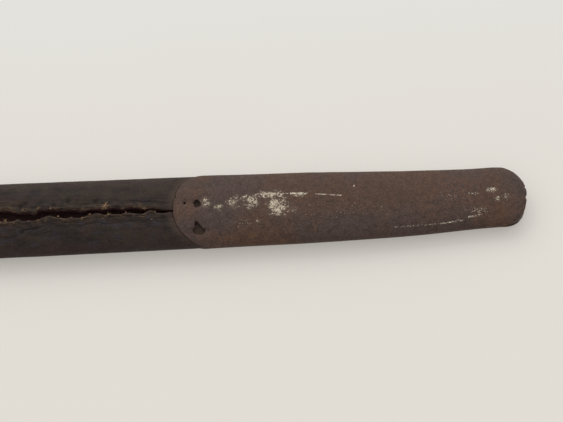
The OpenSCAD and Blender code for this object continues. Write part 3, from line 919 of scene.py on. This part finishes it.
def build_fibres():
    random = np.random.default_rng(7)
    hairs = []
    for x, y, count, length in TUFTS:
        root = np.array([x, y, middle(x) + crown(x, y) + BARE + 0.22])
        for _ in range(count):
            heading = random.uniform(0, 2 * math.pi)
            reach = length * random.uniform(0.5, 1.15)
            lift = random.uniform(0.05, 0.32)
            s = np.linspace(0, 1, 5)[:, None]
            lean = np.array([math.cos(heading), math.sin(heading), lift])
            bend = random.normal(0, 0.22, 3) * length
            path = root + random.normal(0, 0.16, 3) * (1, 1, 0.3) + s * reach * lean + s**2 * bend * (1, 1, 0.2)
            hairs.append(sweep(path, np.linspace(0.11, 0.035, 5), 5))
    add_piece("torn_fibres", join(hairs), FIBRE, "leather_body")


def build_thread():
    """Two-ply stitches across the seam where it still holds."""
    high = corners("seam_thread")[1]
    plies = []
    reach = high[1] - 0.02
    y = np.linspace(-reach, reach, 15)
    for x in np.arange(FIRST_STITCH, high[0], STITCH_PITCH):
        height = middle(x) + crown(x, y) * (1 + (BARE + LINING) / 2 / half_thickness(x))
        for turn in (0, math.pi):
            twist = y * PLY_TWIST + turn
            path = xyz(x + PLY_APART * np.cos(twist), y, height + PLY_APART * np.sin(twist))
            plies.append(sweep(path, PLY_RADIUS, 7))
    add_piece("stitches", join(plies), THREAD, "seam_thread")


# ---- Locket, band, straps and mouth ----

SLEEVE_AROUND = 150
WORN_RADIUS = 0.4  # rounding of a sleeve's edges


def sleeve(profile, around=SLEEVE_AROUND):
    """Closed profile of (x at each angle, offset at each angle) carried round the section."""
    t = even_angles(around)
    loops = np.stack([surface(x, t, offset) for x, offset in profile])
    return loops, grid_faces(len(loops), around, True)


def build_sheet_sleeve(name, node, tongues, spacing, seed):
    """Sleeve of hammered sheet iron with worn, rounded edges. tongues are the reach of those at its two ends."""
    t = even_angles(SLEEVE_AROUND)
    low_x, high_x = ends(node)
    back = 1 - tongue_share(t)
    x_start, x_end = low_x + tongues[0] * back, high_x - tongues[1] * back
    x_start = x_start + 0.10 * rough(surface(x_start, t, 0.0), 4.0, seed)
    x_end = x_end + 0.14 * rough(surface(x_end, t, 0.0), 4.0, seed + 1)
    length = float(np.mean(x_end - x_start))
    inner_steps = np.arange(spacing, length - spacing / 2, spacing)
    steps = np.concatenate([[0, 0.1, 0.25, 0.5], inner_steps, length - np.array([0.5, 0.25, 0.1, 0])])
    steps = np.unique(np.round(steps, 4))
    profile = []
    for step in steps:
        x = x_start + (x_end - x_start) * step / length
        from_edge = min(step, length - step)
        inset = max(WORN_RADIUS - from_edge, 0)
        rounding = WORN_RADIUS - math.sqrt(max(WORN_RADIUS**2 - inset**2, 0))
        profile.append((x, dents(surface(x, t, 0.0), seed + 2) - rounding))
    for step in (length, length / 2, 0):
        profile.append((x_start + (x_end - x_start) * step / length, -SHEET))
    add_piece(name, sleeve(profile), SHEET_IRON, node)


def build_strap(name, node, seed):
    """Half-round strap, a little uneven from the hammer."""
    low, high = corners(node)
    middle_x, reach = (low[0] + high[0]) / 2, (high[0] - low[0]) / 2
    rise = high[1] - half_width(low[0])
    around = 168
    t = even_angles(around)
    profile = [(middle_x - reach, -0.1)]
    for turn in np.linspace(math.pi, 0, 15):
        x = middle_x + reach * math.cos(turn) + 0.05 * noise(surface(middle_x, t, 0.0), 4, seed)
        spots = surface(x, t, 0.0)
        profile.append((x, rise * math.sin(turn) ** 0.62 - 0.05 - 0.04 * (1 + rough(spots, 2.5, seed + 1))))
    profile.append((middle_x + reach, -0.1))
    add_piece(name, sleeve(profile, around), SHEET_IRON, node)


def build_mouth():
    low, high = corners("mouth_rim")
    lip_out = high[1] - half_width(high[0])
    start, end = ends("mouth_liner")
    liner_out = corners("mouth_liner")[1][1] - half_width(start)
    inside = liner_out - 0.8
    thick = high[0] - low[0]
    around = 190
    t = even_angles(around)
    profile = [(low[0] + 0.05, inside)]
    profile += [(low[0] + 0.02 * noise(surface(low[0], t, -o), 2.5, 142) + 0.03, lip_out - 0.5 - o)
                for o in np.linspace(2.1, 0.2, 7)]
    for turn in np.linspace(0, math.pi, 12):
        x = low[0] + thick / 2 - thick / 2 * math.cos(turn)
        swell = 0.45 * math.sin(turn) - 0.45
        profile.append((x, lip_out + swell + 0.04 * noise(surface(x, t, 0.0), 3.0, 141)))
    profile.append((high[0], inside))
    loops = np.stack([surface(high[0], t, offset) * (0, 1, 1) + xyz(x, 0 * t, 0.0) for x, offset in profile])
    faces = grid_faces(len(loops), around, True)
    add_piece("mouth_rim_plate", (loops, faces), RUBBED_IRON, "mouth_rim")

    profile = [(x, liner_out - 0.03) for x in (start, end)]
    profile += [(x, inside + 0.04 * noise(surface(x, t, 0.0), 4, 143)) for x in np.linspace(end, start, 14)]
    add_piece("mouth_tube", sleeve(profile, around), RUBBED_IRON, "mouth_liner")


# ---- Nails, screws, loops and rings ----

PIN_ROW = (-9.0, 3.0)  # y of a pair of nails
CHAPE_PIN_X = CHAPE_TOP + 10.5
LOCKET_PIN_X = LOCKET_END - 10.5
BAND_PIN_X = BAND_END - 6.0


def nail_solid(x, y, side, seed):
    """Domed, hand-made nail on a face."""
    profile = [(0, -3.0), (0.55, -2.7), (0.88, -2.2), (0.9, -0.35), (1.72, -0.32), (1.8, -0.12), (1.8, 0.06),
               (1.70, 0.22), (1.5, 0.40), (1.2, 0.56), (0.85, 0.68), (0.45, 0.76), (0, 0.78)]
    points, faces = lathe(profile, 28, 0.06, seed)
    raised = points[:, 2] > 0
    points[raised, 2] -= 0.05 * (1 + rough(points[raised], 1.1, seed))
    if side < 0:
        points = points * (1, -1, -1)
    return points + (x, y, middle(x) + side * crown(x, y)), faces


def build_nails(name, node, places):
    nails = join([nail_solid(*place, 160 + i) for i, place in enumerate(places)])
    add_piece(name, nails, RUBBED_IRON, node)


def build_screws():
    """Domed, slotted screws in the locket's two edges."""
    low, high = corners("mouth_screws")
    x, head = (low[0] + high[0]) / 2, (high[0] - low[0]) / 2
    rise = high[1] - half_width(x)
    half_slot, slot_floor = 0.36, rise * 0.45
    segments = 96
    dome = np.linspace(0.06, 0.9, 22)
    radii = np.concatenate([dome, [0.94, 0.975, 0.99, 1.0, 1.0]]) * head
    heights = rise * np.array([*(1 - 0.22 * dome**2), 0.76, 0.66, 0.5, 0.25, -0.12])
    turn = full_turn(segments) + 0.5
    parts = []
    for side, slot_turn in ((1, 0.35), (-1, -0.6)):
        across = radii[:, None] * np.cos(turn)
        along = radii[:, None] * np.sin(turn)
        level = np.repeat(heights[:, None], segments, 1)
        cut = np.abs(across * math.cos(slot_turn) + along * math.sin(slot_turn)) < half_slot
        level = np.where(cut & (level > slot_floor), slot_floor, level)
        points = np.concatenate([xyz(across, along, level).reshape(-1, 3), [[0, 0, slot_floor]]])
        faces = grid_faces(len(radii), segments, False)
        centre = len(points) - 1
        faces += [(centre, k, (k + 1) % segments) for k in range(segments)]
        faces.append(caps(len(radii), segments)[1])
        shank = lathe([(0, -4.1), (0.9, -4.1), (1.2, -3.7), (1.2, -0.1), (0, -0.1)], 24)
        for points, faces in ((points, faces), shank):
            points = points[:, [0, 2, 1]] * (1, side, 1) + (x, side * half_width(x), middle(x))
            parts.append((points, faces))
    add_piece("mouth_screw_pair", join(parts), RUBBED_IRON, "mouth_screws")


def build_loop(name, node, seed):
    """Half loop of round bar with its two legs brazed into the strap."""
    low, high = corners(node)
    wire = (high[0] - low[0]) / 2
    x, z = (low[0] + high[0]) / 2, (low[2] + high[2]) / 2
    radius = (high[2] - low[2]) / 2 - wire
    hinge_y = low[1] + radius + wire
    turn = np.linspace(0, math.pi, 25)
    bend = xyz(x, hinge_y - radius * np.sin(turn), z - radius * np.cos(turn))
    first = xyz(x, np.linspace(high[1], hinge_y + 0.3, 7), z - radius)
    path = np.concatenate([first, bend, (first * (1, 1, -1) + (0, 0, 2 * z))[::-1]])
    thick = wire * (1 - 0.03 - 0.03 * noise(path, 2.0, seed))
    add_piece(name, sweep(path, thick, 22), SHEET_IRON, node)


RING_WIRE = 1.5  # radius of the rings' bar


def build_ring(name, node, body, seed):
    """Forged ring, closed by a lapped weld on its far side."""
    low, high = corners(node)
    wire = RING_WIRE
    radius = (high[0] - low[0]) / 2 - wire
    hinge = np.array([(low[0] + high[0]) / 2, high[1] - wire, high[2] - wire])
    droop = math.asin((high[2] - low[2] - 2 * wire) / (2 * radius))
    turn = full_turn(120)
    path = xyz(radius * np.sin(turn), radius * (np.cos(turn) - 1), 0.0)
    weld = bump(np.angle(np.exp(1j * (turn - math.pi * 1.08))), 0.10)
    thick = wire * (0.975 + 0.02 * noise(path, 5.0, seed) + 0.015 * weld)
    worn = bump(np.angle(np.exp(1j * turn)), 0.20)
    points, faces = sweep(path, thick - 0.06 * worn, 26, closed=True)
    outward = points - np.repeat(path, 26, axis=0)
    points = points + outward * (0.03 * noise(points, 1.6, seed + 1))[:, None]
    lap = np.abs((np.arctan2(points[:, 0], points[:, 1] + radius) + 0.25 * points[:, 2]) % (2 * math.pi) - 3.32)
    points = points - outward * (0.10 * bump(lap, 0.018))[:, None]
    points = points @ np.array(Matrix.Rotation(droop, 3, "X")).T + hinge
    add_piece(name, (points, faces), RUBBED_IRON, node, body=body)


build_chape()
build_end_plug()
build_leather()
build_fibres()
build_thread()
build_sheet_sleeve("locket", "locket_shell", (0, LOCKET_TONGUE), 1.3, 101)
build_sheet_sleeve("ring_band", "middle_band", (BAND_TONGUE, BAND_TONGUE), 1.0, 121)
build_strap("upper_strap", "upper_ring_strap", 131)
build_strap("lower_strap", "lower_ring_strap", 135)
build_mouth()
build_nails("chape_nails", "chape_pins", [(CHAPE_PIN_X, y, -1) for y in PIN_ROW])
build_nails("locket_nails", "locket_pins", [(LOCKET_PIN_X, y, side) for side in (-1, 1) for y in PIN_ROW])
build_nails("band_nails", "band_pins", [(BAND_PIN_X, 6.0, 1), (BAND_PIN_X, 0.0, -1)])
build_screws()
build_loop("upper_loop", "upper_ring_loop", 181)
build_loop("lower_loop", "lower_ring_loop", 185)
build_ring("carrying_ring_upper", "upper_ring", "upper_ring_body", 191)
build_ring("carrying_ring_lower", "lower_ring", "lower_ring_body", 195)


# ---- Stage, light and camera ----

FLOOR_HALF = 3000.0
ROOM_FRONT, ROOM_BACK = 0.41, 1.02  # the room's brightness towards -Y and +Y
ELEVATION, ROLL = math.radians(70), math.radians(2.6)
DISTANCE = 0.9  # from the camera to what it looks at, in metres
LENS = 126.0


def build_stage():
    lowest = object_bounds()[0].z / MM
    across = np.linspace(-FLOOR_HALF, FLOOR_HALF, 3)
    points = [(x, y, lowest) for x in across for y in across]
    faces = [(3 * i + j, 3 * i + j + 3, 3 * i + j + 4, 3 * i + j + 1) for i in range(2) for j in range(2)]
    make("floor", (points, faces), backdrop_cloth("pale_floor"))


def build_window():
    """One large soft light, high behind the object."""
    data = bpy.data.lights.new("window", "AREA")
    data.shape = "RECTANGLE"
    data.size, data.size_y = 2.2, 1.4
    data.energy = 12
    data.color = (1.0, 0.985, 0.96)
    place, aim = Vector((0.2, 1.5, 1.5)), Vector((0.45, 0, 0))
    lamp = new_object("window", data)
    lamp.location = place
    lamp.rotation_euler = (aim - place).to_track_quat("-Z", "Y").to_euler()


def build_world():
    """Pale room, brighter towards the back."""
    world = bpy.data.worlds.new("pale_room")
    world.use_nodes = True
    nodes, link = world.node_tree.nodes, world.node_tree.links.new
    apart = nodes.new("ShaderNodeSeparateXYZ")
    link(nodes.new("ShaderNodeTexCoord").outputs["Generated"], apart.inputs[0])
    towards_back = nodes.new("ShaderNodeMapRange")
    towards_back.interpolation_type = "SMOOTHSTEP"
    for socket, value in (("From Min", -0.8), ("From Max", 0.8), ("To Min", ROOM_FRONT), ("To Max", ROOM_BACK)):
        towards_back.inputs[socket].default_value = value
    link(apart.outputs["Y"], towards_back.inputs["Value"])
    background = nodes["Background"]
    background.inputs["Color"].default_value = (0.985, 0.985, 0.975, 1)
    link(towards_back.outputs[0], background.inputs["Strength"])
    bpy.context.scene.world = world


def build_camera():
    """Looks down at the chape from the -Y side, as the photograph does."""
    looked_at = CHAPE_TOP + 48.4
    aim = Vector((looked_at, -1.06, float(middle(looked_at)))) * MM
    forward = Vector((0, math.cos(ELEVATION), -math.sin(ELEVATION)))
    level_right = Vector((1, 0, 0))
    level_up = level_right.cross(forward)
    right = level_right * math.cos(ROLL) - level_up * math.sin(ROLL)
    up = level_right * math.sin(ROLL) + level_up * math.cos(ROLL)
    camera = new_object("camera", bpy.data.cameras.new("camera"))
    camera.data.lens = LENS
    camera.data.clip_start = 0.01
    turn = Matrix((right, up, -forward)).transposed().to_4x4()
    camera.matrix_world = Matrix.Translation(aim - forward * DISTANCE) @ turn
    bpy.context.scene.camera = camera


build_stage()
build_world()
build_window()
build_camera()
bpy.context.scene.view_settings.view_transform = "Standard"
